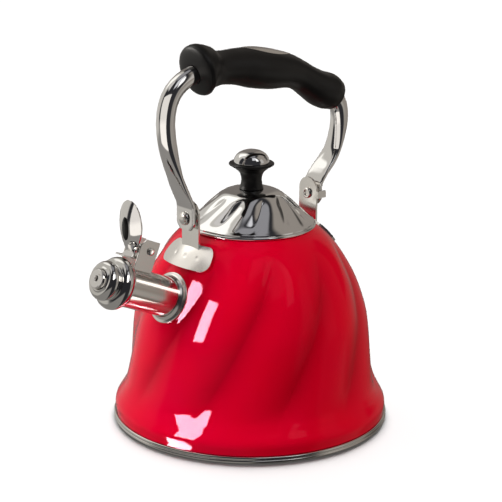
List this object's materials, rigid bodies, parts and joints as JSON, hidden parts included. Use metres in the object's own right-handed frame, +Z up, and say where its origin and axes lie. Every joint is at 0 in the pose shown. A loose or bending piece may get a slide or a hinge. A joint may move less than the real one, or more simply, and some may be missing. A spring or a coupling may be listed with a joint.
{
  "type": "stovetop whistling kettle",
  "caption": "Round stovetop kettle with a swirled red body, bright lid, black grip on a folding bail and a flip-up whistle on its spout.",
  "frame": {"origin": "middle of the underside of the base, on the surface the kettle stands on", "axes": "+Z up, +X towards the spout, +Y to the kettle's left as seen from behind the spout"},
  "size_m": [0.2269, 0.19, 0.2635],
  "materials": {
    "red_enamel": "gloss enamel",
    "polished_steel": "polished",
    "chrome": "mirror",
    "spring_steel": "drawn wire",
    "aluminium_core": "plain",
    "black_plastic": "satin"
  },
  "bodies": {
    "kettle_body": {"body_shell": "red_enamel", "base_plate": "polished_steel", "base_core": "aluminium_core", "inner_floor": "polished_steel", "base_rim": "polished_steel", "mouth_collar": "polished_steel", "spout_tube": "polished_steel", "spout_collar": "polished_steel", "ear_bracket": "polished_steel", "whistle_pin": "polished_steel", "whistle_spring": "spring_steel", "front_bracket": "polished_steel", "rear_bracket": "polished_steel", "front_washer": "polished_steel", "rear_washer": "polished_steel", "front_rivet": "polished_steel", "rear_rivet": "polished_steel"},
    "handle": {"front_arm": "chrome", "rear_arm": "chrome", "grip": "black_plastic", "grip_plate": "polished_steel"},
    "lid": {"lid_shell": "chrome", "lid_skirt": "polished_steel", "knob": "black_plastic", "knob_cap": "chrome", "knob_washer": "polished_steel", "knob_screw": "polished_steel"},
    "whistle": {"thumb_lever": "chrome", "thumb_pad": "black_plastic", "whistle_cap": "chrome", "whistle_nozzle": "chrome", "whistle_reed_disc": "polished_steel"}
  },
  "joints": [
    {"name": "handle_fold", "type": "hinge", "parent": "kettle_body", "child": "handle", "pos_m": [0, 0, 0.1494], "axis": [1, 0, 0], "range_deg": [0, 100]},
    {"name": "lid_lift", "type": "slide", "parent": "kettle_body", "child": "lid", "axis": [0, 0, 1], "range_m": [0, 0.034]},
    {"name": "whistle_flip", "type": "hinge", "parent": "kettle_body", "child": "whistle", "pos_m": [0.09199, 0, 0.13468], "axis": [0, -1, 0], "range_deg": [0, 45], "stiffness_Nm_per_rad": 0.02, "springref_deg": -34.38}
  ]
}
